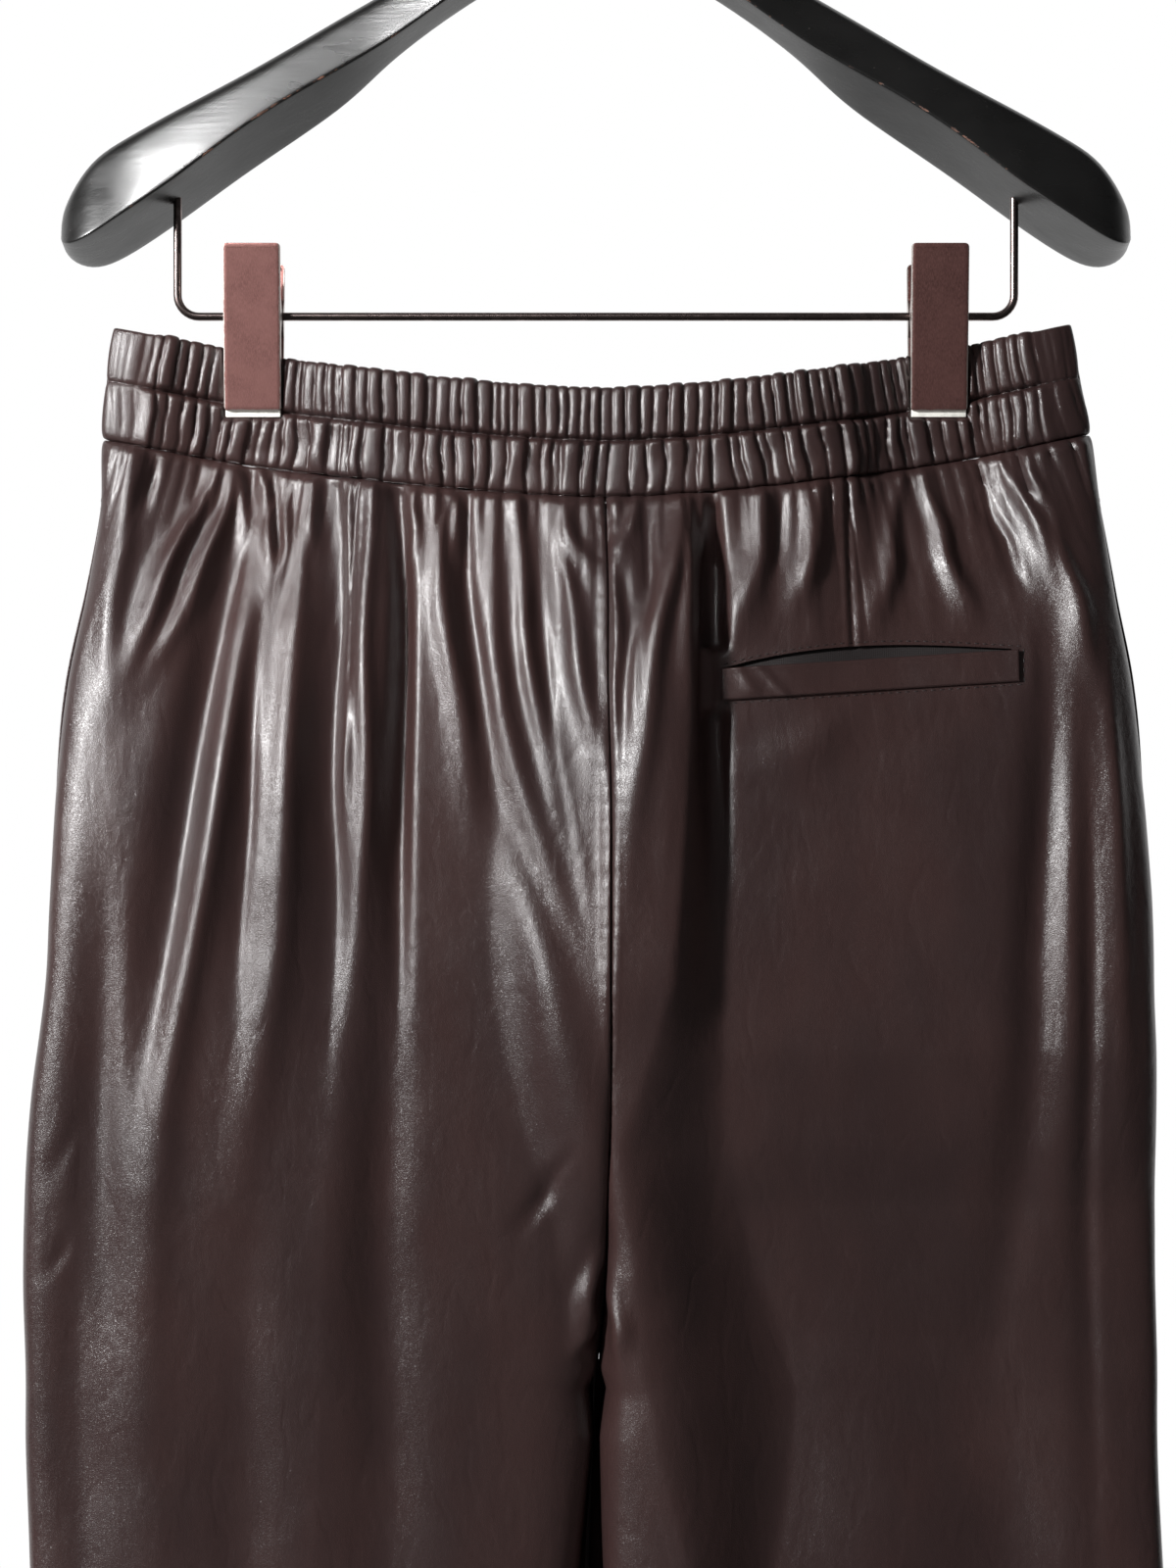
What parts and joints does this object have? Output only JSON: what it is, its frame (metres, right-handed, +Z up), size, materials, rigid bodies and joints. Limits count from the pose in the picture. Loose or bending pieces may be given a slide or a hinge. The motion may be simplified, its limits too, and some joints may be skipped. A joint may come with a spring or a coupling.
{
  "type": "pull-on shorts on a clip hanger",
  "caption": "Faux leather pull-on shorts with a gathered elastic waist, a back welt pocket and side pockets, held by clips on a contoured wooden hanger.",
  "frame": {"origin": "top of the inside of the hanger's hook, where the rail carries it", "axes": "+Z up along the hook's stem, +X along the hanger to the garment's right, -Y out of the garment's back"},
  "size_m": [0.4729, 0.0885, 0.8496],
  "materials": {
    "faux_leather": "glossy dark brown coated cloth with a fine grain",
    "pocket_facing": "dull dark brown",
    "black_lacquer": "black lacquer, a little worn along its edges",
    "dark_wire": "dark plated wire",
    "bronze_plate": "brushed antique copper plating",
    "clip_pad": "pale soft pad"
  },
  "bodies": {
    "root": {"back_left": "faux_leather", "back_right": "faux_leather", "front_left": "faux_leather", "front_right": "faux_leather", "waistband_back": "faux_leather", "waistband_front": "faux_leather", "back_pocket_welt": "faux_leather", "back_pocket_facing": "pocket_facing", "side_pocket_facing_left": "pocket_facing", "side_pocket_facing_right": "pocket_facing", "hanger_wood": "black_lacquer", "hanger_hook": "dark_wire", "hanger_bar": "dark_wire", "clip_left_back_plate": "bronze_plate", "clip_left_front_plate": "bronze_plate", "clip_left_back_pad": "clip_pad", "clip_left_front_pad": "clip_pad", "clip_left_spring": "dark_wire", "clip_right_back_plate": "bronze_plate", "clip_right_front_plate": "bronze_plate", "clip_right_back_pad": "clip_pad", "clip_right_front_pad": "clip_pad", "clip_right_spring": "dark_wire"}
  },
  "joints": []
}
